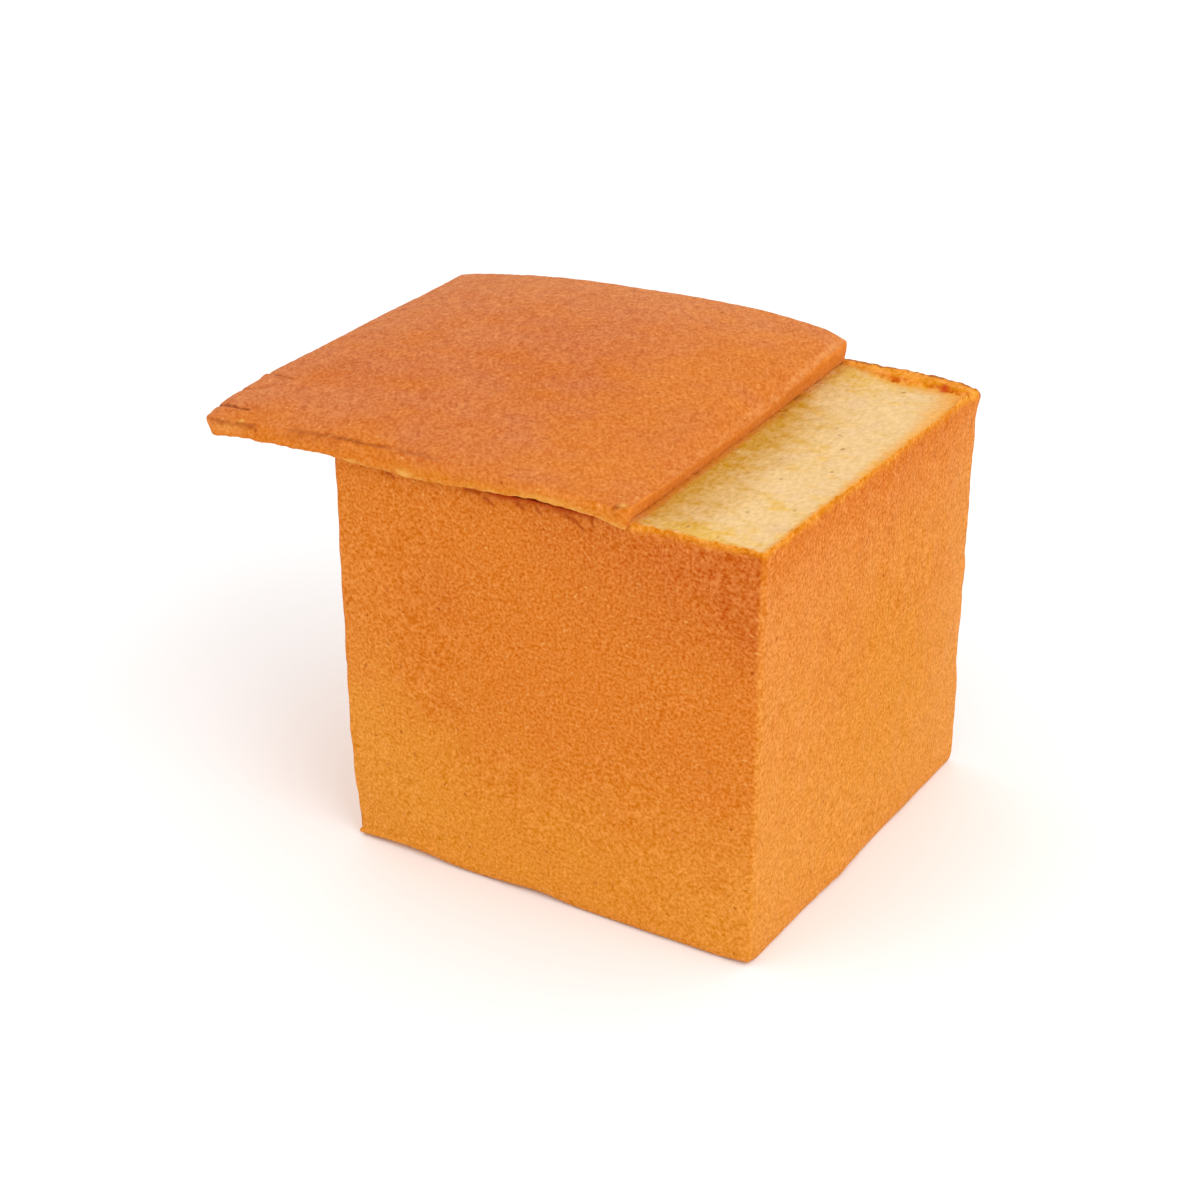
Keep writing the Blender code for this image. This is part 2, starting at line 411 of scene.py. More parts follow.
def loaf_shape(finish):
    tree, size = new_shape("loaf_shape", {**LOAF_CELLS, **LOAF_SIZES})
    block, (across, deep, high) = blank_block(tree, size)
    half = size["Top width"] / 2

    across = gathered(across, 0.08)
    across = across + CELL_SKEW * (1 - across * across)
    x, y = half * across, half * gathered(deep, 0.07)
    height = NOMINAL_HEIGHT / 2 * (gathered(high, 0.09) + 1)

    # The cut's edge and the foot's edge, rounded.
    reach = most(abs(x), abs(y))
    inset, fall = rounded(
        half - reach, NOMINAL_HEIGHT - height, size["Rim rounding"], size["Rim rounding"]
    )
    inset, height = rounded(inset, NOMINAL_HEIGHT - fall, size["Foot inset"], size["Foot height"])
    pull = (half - inset) / most(reach, 1e-7)
    x, y = round_corners(x * pull, y * pull, half, half, size["Corner radius"])

    # The tin's taper, its turn, and the walls' bow.
    share = least(most(height / NOMINAL_HEIGHT, 0.0), 1.0)
    narrow = (size["Base width"] * (1 - share) + size["Top width"] * share) / size["Top width"]
    bow = size["Wall swell"] / half * (share * math.pi).by("SINE")
    x, y = (
        x * (narrow + bow * (1 - (y / half) ** 2.0)),
        y * (narrow + bow * (1 - (x / half) ** 2.0)),
    )
    x, y = turned(x, y, size["Base twist"] * (1 - share))
    z = height * cut_height(x, y, size) / NOMINAL_HEIGHT

    # How far inside the browned rim a point of the cut lies: below 0 it is crust.
    level = joined(x, y, z)
    ragged = size["Rim raggedness, broad"] * lumps(level, 0.0070, 1)
    ragged = ragged + size["Rim raggedness, fine"] * lumps(level, 0.0018, 2)
    inside = half - size["Rim width, right"] - x
    inside = inside + size["Rim narrowing, right"] * eased(y, -0.040, 0.010)
    inside = inside.by("SMOOTH_MIN", half - size["Rim width, back"] - y, 0.002)
    inside = inside.by("SMOOTH_MIN", x + half - size["Rim width, left"], 0.002)
    inside = least(inside, y + half - size["Rim width, front"])
    crumb = inside + ragged - 3 * fall

    # The crumb has sunk behind the rim, most of all along the back.
    behind = eased(y, 0.030, 0.045)
    drop = size["Crumb drop"] * (1 - behind) + size["Crumb drop, back"] * behind
    z = z - drop * eased(crumb, 0.0, size["Crumb slope"])
    # Beside the slice it has swollen up to it, and the back right-hand corner is worn down.
    beside = 0.0001 * eased(x, 0.0340, 0.0260) + 0.0004 * eased(x, 0.0240, 0.0208)
    beside = beside + 0.0010 * behind * eased(x, 0.0330, 0.0200)
    z = z + beside * eased(x, 0.0, 0.0060) * eased(crumb, 0.0, size["Crumb slope"])
    z = z - share * patches((x, y), WORN_CORNER)

    bread = remembered(tree, block, "crumb", crumb)
    bread = moved(tree, bread, place=joined(x, y, z))

    # The skin's unevenness, worked along the surface's own direction.
    where = tree.nodes.new("GeometryNodeInputPosition").outputs[0]
    x, y, z = parts(where)
    crumb = recalled(tree, "crumb")
    wall = eased(crumb, -0.004, -0.008)
    soft = eased(crumb, 0.0, 0.002)
    edge = eased(crumb, -0.0085, -0.0035) * eased(crumb, 0.0014, 0.0)
    uneven = wall * size["Unevenness, broad"] * lumps(where, 0.026, 3)
    uneven = uneven + (wall + 0.35) * size["Unevenness, middling"] * lumps(where, 0.0062, 4)
    uneven = uneven + size["Unevenness, fine"] * lumps(where, 0.0019, 5)
    uneven = uneven + soft * size["Crumb unevenness"] * lumps(where, 0.0023, 6, 2.0, (2.4, 1, 1))
    uneven = uneven - soft * size["Pore depth"] * spots(where, 0.0034, 0.0011, 7, (1.3, 1, 1))
    uneven = uneven + edge * size["Edge unevenness, broad"] * lumps(where, 0.0032, 8)
    uneven = uneven + edge * size["Edge unevenness, fine"] * lumps(where, 0.0015, 9)
    wrinkled = sum(lined(x, z, start, end, 0.0009) for start, end in WRINKLES)
    hollow = size["Wrinkle depth"] * wrinkled + size["Gap depth"] * lined(x, z, *UNDER_GAP, 0.0016)
    uneven = uneven - hollow * eased(y, -0.046, -0.049) + patches((x, y, z), WALL_BULGES)
    above = eased(z, 0.0, 0.0012)
    bread = moved(tree, bread, offset=outwards(tree, uneven * above))

    # The foot is flat where it stands, and its front edge is worn round, unevenly.
    x, y, z = parts(tree.nodes.new("GeometryNodeInputPosition").outputs[0])
    front = eased(y, -0.0455, -0.0490) * eased(z, 0.0060, 0.0010)
    lift = size["Foot wear"] + size["Foot wear, left"] * eased(x, -0.026, -0.040)
    lift = lift + patches((x,), FOOT_WEAR)
    z = most(z + front * lift, 0.0)
    bread = moved(tree, bread, place=joined(x, y, z))
    baked(tree, bread, finish)
    return tree


SEEN_BRIGHTER = 1.2  # a surface in this setting's light looks this much brighter than its own colour


def tone(red, green, blue):
    """The own colour of a surface that looks like this, 0 to 255, in the setting's light."""
    seen = [((c / 255 + 0.055) / 1.055) ** 2.4 for c in (red, green, blue)]
    return [part / SEEN_BRIGHTER for part in seen] + [1.0]


def blended(below, above, share):
    """Lays one colour over another by a share from 0 to 1."""
    step = share.tree.nodes.new("ShaderNodeMix")
    step.data_type = "RGBA"
    give(share, step.inputs[0])
    give(below, step.inputs[6])
    give(above, step.inputs[7])
    return step.outputs[2]


def speckled(colour, grain, strength, tint):
    """Lightens a colour by the tint where grain is above 0 and darkens it where it is below."""
    step = grain.tree.nodes.new("ShaderNodeVectorMath")
    step.operation = "MULTIPLY_ADD"
    give(grain, step.inputs[0])
    step.inputs[1].default_value = [strength * part for part in tint]
    give(colour, step.inputs[2])
    return step.outputs[0]


CRUST_DEEP = tone(206, 100, 32)
CRUST = tone(222, 122, 33)
CRUST_GOLD = tone(230, 145, 42)
CRUST_PEACH = tone(244, 163, 84)
CRUST_DUST_SHEEN = tone(214, 128, 82)
CRUST_SPECK = tone(246, 172, 92)
CRUST_PIT = tone(150, 60, 15)
CRUST_CRACK = tone(140, 50, 3)
LIP_PALE = tone(244, 176, 84)
CREST_PALE = tone(248, 168, 96)
CRUST_ORANGE = tone(240, 141, 51)
CRUST_FOOT_LIGHT = tone(250, 162, 64)
RIM_GOLD = tone(238, 147, 30)
LEDGE_GOLD = tone(248, 160, 50)
RIM_FOOT_SHADE = tone(212, 96, 24)
RIM_KNOT = tone(200, 56, 14)
WRINKLE_BROWN = tone(178, 74, 8)
GAP_SHADE_RED = tone(196, 62, 14)
CRUMB = tone(244, 204, 144)
CRUMB_ROSE = tone(239, 197, 151)
CRUMB_YELLOW = tone(240, 190, 92)
CRUMB_OLIVE = tone(212, 168, 76)
CRUMB_PORE = tone(170, 120, 48)
CRUMB_SHADE = tone(208, 148, 50)
CRUMB_GOLD = tone(245, 172, 80)
CRUMB_CONTACT_LIGHT = tone(222, 122, 42)
CRUST_GRAIN = (1.0, 0.60, 0.23)  # how strongly red, green and blue share in the grain
CRUMB_GRAIN = (1.0, 0.77, 0.55)  # the same for the crumb's


def crust_colour(place, bake, peach, coarse, grain_size, contrast, stretch=(1, 1, 1), dust_and_sheen=None):
    """Grainy crust: its colour and its relief.

    Bake runs from -1, deep and reddish, to 1, golden. Peach pales it. Where coarse is 1 there is broader
    grain beside the fine. Where the last argument is 1 the colour is dull and pale, partly dust and
    partly a painted sheen.
    """
    grain = lumps(place, grain_size, 11, 1.0, stretch)
    mottle = lumps(place, 0.0024, 12, 2.0, stretch)
    blotch = lumps(place, 0.0090, 13, 2.0)
    bake = bake + 0.12 * mottle + 0.16 * blotch
    colour = blended(CRUST_DEEP, CRUST, eased(bake, -1.0, 0.0))
    colour = blended(colour, CRUST_GOLD, eased(bake, 0.0, 1.0))
    colour = blended(colour, CRUST_PEACH, peach + 0.06 * mottle)
    if dust_and_sheen is not None:
        colour = blended(colour, CRUST_DUST_SHEEN, dust_and_sheen * 0.55)
    specks = eased(lumps(place, 0.0009, 14, 0.0), 0.70, 1.15)
    colour = blended(colour, CRUST_SPECK, specks * 0.50)
    pits = eased(lumps(place, 0.0013, 15, 0.0), 0.85, 1.20)
    colour = blended(colour, CRUST_PIT, pits * 0.40)
    grit = grain + 0.6 * coarse * lumps(place, 0.0019, 16, 1.0, stretch)
    colour = speckled(colour, grit, contrast, CRUST_GRAIN)
    relief = 0.00012 * contrast * grit + 0.00002 * mottle + 0.00004 * specks - 0.00008 * pits
    return colour, relief


def crumb_colour(place, shade=0.0, yellow=0.0):
    """Cream crumb with fine pores, yellow blotches and faint streaks: its colour and its relief.

    It carries painted shade, dull and golden brown, where shade is 1, and has more of the blotches where
    yellow is high.
    """
    streaks = lumps(place, 0.0021, 21, 2.0, (2.0, 1.4, 1))
    blotch = lumps(place, 0.0085, 22, 2.0, (1.6, 1.2, 1))
    fluff = lumps(place, 0.0010, 23, 2.0, (1, 1.7, 1))
    rose = eased(lumps(place, 0.0070, 26, 1.0, (1, 1.4, 1)), -0.2, 1.2)
    golden = eased(blotch + 1.3 * streaks + yellow, -0.2, 1.8)
    colour = blended(CRUMB, CRUMB_ROSE, rose * 0.6)
    colour = blended(colour, CRUMB_YELLOW, golden * 0.95)
    holes = eased(lumps(place, 0.0017, 25, 1.0, (1.3, 1.8, 1)), 0.65, 1.25)
    colour = blended(colour, CRUMB_OLIVE, holes * 0.45)
    painted_shade_share = eased(shade * (1 + 0.30 * streaks + 0.25 * blotch), 0.0, 1.0)
    colour = blended(colour, CRUMB_SHADE, painted_shade_share)
    pores = spots(place, 0.0046, 0.00066, 24, (1, 1.4, 1))
    colour = blended(colour, CRUMB_PORE, pores * 0.7)
    colour = speckled(colour, fluff, 0.10, CRUMB_GRAIN)
    relief = 0.00009 * fluff + 0.00007 * streaks - 0.0002 * pores - 0.0001 * holes
    return colour, relief


def bread_finish(name):
    """A new finish: the material, its place in the object and the kept depth inside the rim."""
    made = bpy.data.materials.new(name)
    made.use_nodes = True
    tree = made.node_tree
    tree.nodes.clear()
    place = tree.nodes.new("ShaderNodeTexCoord").outputs["Object"]
    kept = tree.nodes.new("ShaderNodeAttribute")
    kept.attribute_name = "crumb"
    return made, place, Rule(kept.outputs["Fac"])


def finish_with(made, colour, relief, roughness):
    """Ends a finish in one rough, faintly glossy surface."""
    tree = made.node_tree
    bump = tree.nodes.new("ShaderNodeBump")
    bump.inputs["Strength"].default_value = 1.0
    bump.inputs["Distance"].default_value = 1.0
    give(relief, bump.inputs["Height"])
    surface = tree.nodes.new("ShaderNodeBsdfPrincipled")
    surface.inputs["Specular IOR Level"].default_value = 0.06
    give(colour, surface.inputs["Base Color"])
    give(roughness, surface.inputs["Roughness"])
    give(bump.outputs[0], surface.inputs["Normal"])
    end = tree.nodes.new("ShaderNodeOutputMaterial")
    give(surface.outputs[0], end.inputs["Surface"])


def cut_bread(place, crust, crumb, inside, hidden, narrow=0.0, behind=0.0, browned=0.0):
    """Crust outside the rim, a golden margin, and crumb inside it: colour, relief and roughness.

    Crust and crumb are each a colour and a relief. The margin is left out where hidden is 1 and slender
    where narrow is 1. Behind is 1 along the back, where the crumb lies at the foot of a broad golden
    ledge, with a thin line of painted shade along that foot. Dark grains lie closest together where
    browned is 1.
    """
    crust_tone, crust_relief = crust
    crumb_tone, crumb_relief = crumb
    grain = lumps(place, 0.0010, 31, 2.0)
    knots = lumps(place, 0.0030, 36, 1.0)
    frayed = inside + 0.0005 * grain + 0.0004 * knots
    margin = frayed + 0.0010 * knots + 0.0012 * lumps(place, 0.0060, 34) - 0.0010 * narrow
    margin = eased(margin, -0.0080, -0.0010) * (1 - hidden)
    ledge = 0.5 * eased(frayed, 0.0008, 0.0016) + 0.5 * eased(frayed, 0.0012, 0.0075)
    inner = eased(frayed, -0.0014, 0.0010) * (1 - behind) + ledge * behind
    colour = blended(crust_tone, RIM_GOLD, margin * 0.85)
    colour = blended(colour, LEDGE_GOLD, margin * behind * 0.7)
    # A thin, broken dark line of painted shade at the foot of the back ledge.
    foot = eased(abs(frayed - 0.0006), 0.0007, 0.0001) * eased(lumps(place, 0.0070, 39), -0.8, 0.4)
    colour = blended(colour, RIM_FOOT_SHADE, foot * behind * 0.75)
    rough = (grain + 0.5 * knots) * margin * (1 - inner)
    colour = speckled(colour, rough, 0.20, CRUST_GRAIN)
    grains = eased(lumps(place, 0.0010, 40) + 1.1 * browned, 0.40, 1.10) * (1 - hidden)
    grains = grains * eased(inside, -0.0075, -0.0045) * (1 - inner)
    colour = blended(colour, CRUST_PIT, grains * (0.40 + 0.25 * browned))
    colour = blended(colour, crumb_tone, inner)
    relief = crust_relief * (1 - inner) + crumb_relief * inner
    relief = relief + 0.0001 * margin * grain - 0.0001 * grains
    roughness = eased(lumps(place, 0.004, 32), -1.0, 1.0, 0.55, 0.70) + 0.15 * inner
    return colour, relief, roughness


loaf_finish, place, inside = bread_finish("loaf_bread")
x, y, z = parts(place)
# The right-hand wall is paler than the others, partly its own lighter bake and partly painted light for
# the stronger light on that side. The front is deepest at its top right, and both turn golden towards the
# foot.
right_wall = eased(x, 0.0484, 0.0494)
front_bake = patches((x, z), (
    (0.050, 0.086, 0.045, 0.022, -0.70),
    (-0.028, 0.066, 0.013, 0.012, -0.35),
    (0.020, 0.092, 0.060, 0.010, -0.12),
    (0.0, 0.0, 0.200, 0.035, 0.85),
    (-0.044, 0.020, 0.020, 0.040, 0.45),
))
front_peach = 0.10 + patches((x, z), (
    (0.046, 0.016, 0.016, 0.020, 0.08),
    (-0.048, 0.035, 0.010, 0.050, 0.10),
))
right_wall_bake_and_light = patches((y, z), (
    (0.0, 0.0, 0.200, 0.035, 0.60),
    (0.006, 0.042, 0.022, 0.026, 0.15),
    (0.0, 0.092, 0.200, 0.014, -0.55),
)) + 0.45
right_wall_peach_and_light = 0.22 + patches((y, z), (
    (0.008, 0.044, 0.024, 0.028, -0.20),
    (0.052, 0.045, 0.014, 0.060, 0.25),
    (-0.050, 0.040, 0.016, 0.060, 0.10),
    (0.0, 0.0940, 0.200, 0.007, -0.26),
    (0.0, 0.0780, 0.200, 0.008, 0.04),
    (0.0, 0.0, 0.200, 0.030, 0.08),
))
bake = front_bake * (1 - right_wall) + right_wall_bake_and_light * right_wall
peach = front_peach * (1 - right_wall) + right_wall_peach_and_light * right_wall
# Beside the slice the crumb carries a painted shadow, dull and golden brown to the front, weaker and more
# golden to the back.
# Along the line of contact the crumb is painted a brighter orange: painted light against the contact
# shade there.
drift = x + 0.0012 * lumps(place, 0.016, 33) + 0.0008 * lumps(place, 0.005, 61, 1.0, (2.0, 1, 1))
spread = eased(y, -0.035, 0.025, 0.0130, 0.0075)
slice_shadow_falloff = (-most(drift - 0.0208, 0.0) / spread).by("EXPONENT") * eased(drift, 0.0400, 0.0310)
shade = slice_shadow_falloff * eased(y, 0.045, 0.010, 0.45, 1.0) * eased(y, -0.0490, -0.0440, 0.65, 1.0)
yellow = 0.6 * eased(inside, 0.0040, 0.0004) + 0.8 * slice_shadow_falloff * eased(y, 0.0, 0.030)
yellow = yellow + patches((x, y), (
    (0.030, -0.046, 0.009, 0.0040, 1.6),
    (0.034, 0.043, 0.020, 0.006, 0.8),
    (0.041, -0.029, 0.003, 0.003, 0.8),
))
to_rim = LOAF_SIZES["Top width"] / 2 - LOAF_SIZES["Rim width, right"] - x
golden_reach = 0.0016 + eased(y, -0.030, 0.010, 0.0, 0.0018) + eased(y, 0.015, 0.042, 0.0, 0.0060)
golden_edge = eased(to_rim + 0.0005 * lumps(place, 0.0020, 62, 2.0), golden_reach, -0.0004) ** 1.4
# Painted light: a brighter orange along the slice's line of contact.
contact_tint_and_light = eased(x + 0.0166 * y + 0.0002 * lumps(place, 0.0020, 63), 0.0219, 0.0205)
contact_tint_and_light = contact_tint_and_light * eased(y, 0.020, -0.010, 0.25, 0.60)
loaf_crust = crust_colour(place, bake, peach, 0.6 * right_wall, 0.00068, 0.15)
crumb_tone, crumb_relief = crumb_colour(place, shade, yellow)
crumb_tone = blended(crumb_tone, CRUMB_GOLD, golden_edge * 0.85)
crumb_tone = speckled(crumb_tone, golden_edge * lumps(place, 0.0011, 65, 2.0), 0.12, CRUST_GRAIN)
crumb_tone = blended(crumb_tone, CRUMB_CONTACT_LIGHT, contact_tint_and_light)
# Where the slice's lip hangs over the front wall no golden margin shows, and to the right of it the
# margin is slender. Along the back it is broad, and most browned at its outer edge.
lip_over = eased(x, 0.0200, 0.0170) * eased(y, -0.0470, -0.0485)
front_wall = eased(y, -0.0440, -0.0470)
slender = front_wall * eased(x, 0.0240, 0.0340)
along_back = eased(y + 0.3 * (x - 0.040), 0.0380, 0.0430)
back_edge = eased(y, 0.0478, 0.0492) * eased(z, 0.0880, 0.0900)
loaf_colour, loaf_relief, loaf_roughness = cut_bread(
    place, loaf_crust, (crumb_tone, crumb_relief), inside, lip_over, slender, along_back, back_edge
)
# Under the lip the crust is deep around the torn hollow, which is dark red, and brown in the wrinkles;
# the deep crust and the dark red are painted shade under the overhang, over its real shadow.
wavy = z + 0.0004 * lumps(place, 0.0022, 35)
across = x + 0.0006 * lumps(place, 0.0016, 38)
deep = lined(x, wavy, *UNDER_GAP, 0.0036) * eased(lumps(place, 0.003, 37), -0.6, 0.6)
loaf_colour = blended(loaf_colour, CRUST_DEEP, 0.5 * deep * front_wall)
wrinkled = sum(lined(across, wavy, start, end, 0.0009, 0.3) for start, end in WRINKLES)
loaf_colour = blended(loaf_colour, WRINKLE_BROWN, least(wrinkled, 1.0) * 0.75 * front_wall)
# Painted shade: the hollow under the lip is dark red.
hollow = least(lined(x, wavy, *UNDER_GAP, 0.0013) * 1.2, 1.0)
loaf_colour = blended(loaf_colour, GAP_SHADE_RED, hollow * front_wall)
# A dark red knot lies in the rim near its back right-hand corner.
knot = patches((x, y), ((0.0437, 0.0452, 0.0009, 0.0015, 1.0),))
loaf_colour = blended(loaf_colour, RIM_KNOT, 0.85 * knot * eased(z, 0.088, 0.090))
finish_with(loaf_finish, loaf_colour, loaf_relief, loaf_roughness)

loaf = plain_piece("tin_loaf", loaf_shape(loaf_finish), {**LOAF_CELLS, **LOAF_SIZES})
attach(loaf, "root")
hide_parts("loaf")

# ------------------------------------------------------------------------------------------------
# The slice: the loaf's own baked top, a low domed slab of crust over a few millimetres of crumb.
# It lies loose on the cut, slid to the left and a little forwards, and turned slightly.

SLICE_SIZES = {
    "Width": 0.1017,
    "Depth": 0.1000,
    "Shift across": -0.0306,
    "Shift back": -0.0030,
    "Turn": math.radians(0.95),
    "Gap": 0.0003,
    "Edge, front left": 0.0041,
    "Edge, front right": 0.0029,
    "Edge, back right": 0.0057,
    "Edge, back left": 0.0030,
    "Rise, front": 0.0009,
    "Rise, back": 0.0042,
    "Rise, left": 0.0011,
    "Rise, right": -0.0004,
    "Crown": 0.0013,
    "Top rounding": 0.0012,
    "Under rounding": 0.0005,
    "Corner radius": 0.0014,
    "Rim width": 0.0030,
    "Rim raggedness, broad": 0.0005,
    "Rim raggedness, fine": 0.0003,
    "Lean, left": 0.0016,
    "Lean, right": 0.0005,
    "Droop, right": 0.0002,
    "Lip raggedness, broad": 0.00022,
    "Lip raggedness, fine": 0.00026,
    "Crack depth": 0.00038,
    "Crease depth, top": 0.000171,
    "Crease depth, side": 0.0003,
    "Unevenness, middling": 0.00011,
    "Unevenness, fine": 0.00008,
}
CUT_SIZES = {
    label: value for label, value in LOAF_SIZES.items() if label.startswith(("Cut", "Top width"))
}
SLICE_CELLS = {"Cells across": 190, "Cells deep": 186, "Cells high": 9}


def flat_topped(share):
    """1 in the middle of a side, 0 at its ends, and flatter on top than a parabola."""
    return most(1 - abs(share) ** 3.0, 0.0)


# The slice's own unevenness, in metres: first on top, by the left-hand cracks and at the back left
# corner, then along its front edge and along the two sides.
KNOBS = ((-0.0502, -0.0280, 0.0010, 0.0010, 0.0006), (-0.0490, 0.0480, 0.0080, 0.0080, 0.0004))
FRONT_DROOPS = ((-0.048, 0.005, 0.0007), (0.002, 0.010, 0.0005), (0.050, 0.005, 0.0014))
FRONT_LIFTS = ((-0.022, 0.012, 0.0003), (0.030, 0.011, 0.0008))
FRONT_DIPS = ((-0.042, 0.014, 0.0011), (0.046, 0.008, 0.0004))
RIGHT_DIPS = ((0.006, 0.032, 0.0016), (-0.050, 0.007, -0.0008), (0.046, 0.006, 0.0004))
LEFT_SWELLS = ((-0.026, 0.012, 0.0005), (0.050, 0.006, 0.0004))

# Cracks that run in from the left-hand edge, and creases along the front one, the last of them a
# notch by the right-hand corner: start and end in the slice's own plan, and darkness.
CRACKS = (
    ((-0.0510, -0.0443), (-0.0425, -0.0448), 1.0),
    ((-0.0510, -0.0362), (-0.0453, -0.0350), 0.5),
    ((-0.0510, -0.0266), (-0.0424, -0.0288), 0.6),
)
TOP_CREASES = (
    ((-0.0294, -0.0493), (-0.0170, -0.0489), 0.55),
    ((-0.0170, -0.0489), (-0.0050, -0.0486), 0.75),
    ((-0.0050, -0.0486), (0.0060, -0.0484), 0.4),
    ((0.0478, -0.0493), (0.0490, -0.0491), 0.8),
)
SIDE_CREASE = ((-0.0485, 0.0027), (-0.0385, 0.0032))  # on the front side itself, across and up
CRACK_TAPER = 0.6  # how much narrower a crack is at its inner end


def wavered(x, y, place):
    """Shakes the plan a little, so that a straight line on it runs unevenly."""
    return x + 0.0003 * lumps(place, 0.0025, 48), y + 0.0004 * lumps(place, 0.0030, 49)


def slice_shape(finish):
    tree, size = new_shape("slice_shape", {**SLICE_CELLS, **SLICE_SIZES, **CUT_SIZES})
    block, (across, deep, high) = blank_block(tree, size)
    half_x, half_y = size["Width"] / 2, size["Depth"] / 2
    u, v = gathered(across, 0.05), gathered(deep, 0.05)
    x, y = half_x * u, half_y * v
    up = (high + 1) / 2

    # Thickness: four corner values, the sides' rise and a low crown.
    right, back = (u + 1) / 2, (v + 1) / 2
    thick = between_corners(right, back, size, "Edge")
    over_x, over_y = flat_topped(u), flat_topped(v)
    thick = thick + over_x * (size["Rise, front"] * (1 - back) + size["Rise, back"] * back)
    thick = thick + over_y * (size["Rise, left"] * (1 - right) + size["Rise, right"] * right)
    thick = thick + size["Crown"] * over_x * over_y
    thick = thick + patches((x, y), KNOBS)
    thick = thick - patches((x,), FRONT_DIPS) * eased(y, 0.009 - half_y, 0.0004 - half_y)
    thick = thick - patches((y,), RIGHT_DIPS) * eased(x, half_x - 0.006, half_x - 0.0004)

    # Both edges, rounded: the baked one softly except on the right, the knife-cut one tightly.
    reach = most(abs(x), abs(y))
    soft = size["Top rounding"] * eased(u - abs(v), -0.01, 0.01, 1.0, 0.6)
    inset, fall = rounded(half_y - least(reach, half_y), (1 - up) * thick, soft, soft)
    tight = size["Under rounding"] * eased(u - abs(v), -0.01, 0.01, 1.0, 0.4)
    inset, rise = rounded(inset, thick - fall, tight, tight)
    pull = (half_y - inset) / most(least(reach, half_y), 1e-7)
    x, y = round_corners(x * pull, y * pull, half_x, half_y, size["Corner radius"])

    # The left and right sides lean in below, the left one swells, and the front lip droops and lifts.
    x = x + size["Lean, left"] * eased(rise, 0.0040, 0.0) * eased(x, 0.005 - half_x, -half_x)
    x = x - size["Lean, right"] * eased(rise, 0.0040, 0.0) * eased(x, half_x - 0.003, half_x)
    x = x - eased(x, 0.010 - half_x, -half_x) * patches((y,), LEFT_SWELLS)
    low = eased(rise, 0.0032, 0.0003)
    lip = eased(y, 0.0026 - half_y, 0.0006 - half_y)
    hollow = eased(y, 0.0100 - half_y, 0.0050 - half_y)
    torn = size["Lip raggedness, broad"] * lumps(joined(x, 0.0, 0.0), 0.0040, 46)
    torn = torn + size["Lip raggedness, fine"] * lumps(joined(x, y, 0.0), 0.0020, 47)
    bend = patches((x,), FRONT_LIFTS) * hollow - (patches((x,), FRONT_DROOPS) + torn) * lip
    right_foot = eased(x, half_x - 0.004, half_x - 0.001) * eased(y, 0.046, 0.040)
    bend = bend - size["Droop, right"] * right_foot

    # Laid on the cut, with its own plan kept for the marks on it.
    own_x, own_y = x, y
    x, y = turned(x, y, size["Turn"])
    x, y = x + size["Shift across"], y + size["Shift back"]
    z = cut_height(x, y, size) + size["Gap"] + rise + bend * low

    # How far inside its browned edge a point of the underside lies: below 0 it is crust.
    level = joined(own_x, own_y, 0.0)
    inside = least(half_x - abs(own_x), half_y - abs(own_y)) - size["Rim width"]
    ragged = size["Rim raggedness, broad"] * lumps(level, 0.0050, 41)
    ragged = ragged + size["Rim raggedness, fine"] * lumps(level, 0.0016, 42)
    crumb = least(inside + ragged, 0.003 - 12 * rise)
    bread = remembered(tree, block, "crumb", crumb)
    bread = remembered(tree, bread, "plan", joined(own_x, own_y, rise), "FLOAT_VECTOR")

    # Cracks and creases, pressed in straight down on top and straight back in the front side.
    wavy_x, wavy_y = wavered(own_x, own_y, level)
    cracks = [lined(wavy_x, wavy_y, start, end, 0.0009, CRACK_TAPER) for start, end, _ in CRACKS]
    creases = [lined(wavy_x, wavy_y, start, end, 0.0010) for start, end, _ in TOP_CREASES]
    dent = most(
        size["Crack depth"] * reduce(most, cracks), size["Crease depth, top"] * reduce(most, creases)
    )
    z = z - dent * eased(rise, 0.0015, 0.0030)
    shelf = lined(own_x, rise, *SIDE_CREASE, 0.0009) * eased(own_y, -0.0470, -0.0490)
    y = y + size["Crease depth, side"] * shelf
    bread = moved(tree, bread, place=joined(x, y, z))

    where = tree.nodes.new("GeometryNodeInputPosition").outputs[0]
    uneven = size["Unevenness, middling"] * lumps(where, 0.0062, 44)
    uneven = uneven + size["Unevenness, fine"] * lumps(where, 0.0019, 45)
    bread = moved(tree, bread, offset=outwards(tree, uneven))
    baked(tree, bread, finish)
    return tree


GRAIN_TURN = math.radians(30)  # how far the grain's drawn-out direction is turned from the front

slice_finish, place, inside = bread_finish("slice_bread")
plan = slice_finish.node_tree.nodes.new("ShaderNodeAttribute")
plan.attribute_name = "plan"
own_x, own_y, rise = parts(plan.outputs["Vector"])
half_x, half_y = SLICE_SIZES["Width"] / 2, SLICE_SIZES["Depth"] / 2
level = plan.outputs["Vector"]
# The baked top dulls and pales to the left and the back, partly dust and partly a painted sheen, and is
# most golden to the right.
bake = patches((own_x, own_y), (
    (0.038, -0.010, 0.018, 0.060, 0.02),
    (0.0, 0.010, 0.025, 0.020, -0.25),
    (-0.030, -0.020, 0.014, 0.010, -0.35),
)) + 0.16 * lumps(place, 0.018, 51, 1.0, (1.8, 1, 1)) - 0.42
peach = 0.10 + patches((own_x, own_y), (
    (-0.055, 0.0, 0.016, 0.080, 0.05),
    (0.0, 0.052, 0.060, 0.020, 0.35),
    (0.040, -0.010, 0.020, 0.060, 0.12),
))
# Dull, pale patches on the top: partly dust and partly a painted sheen.
dust_and_sheen = 0.75 * lumps(place, 0.012, 52, 1.0, (1.5, 1, 1)) + patches((own_x, own_y), (
    (-0.055, 0.0, 0.022, 0.090, 0.85),
    (-0.020, 0.055, 0.070, 0.026, 1.0),
    (-0.015, -0.030, 0.030, 0.012, 0.35),
    (0.0, 0.012, 0.028, 0.026, 0.35),
    (0.040, 0.0, 0.022, 0.060, -0.5),
))
dust_and_sheen = eased(dust_and_sheen, -0.6, 0.9)
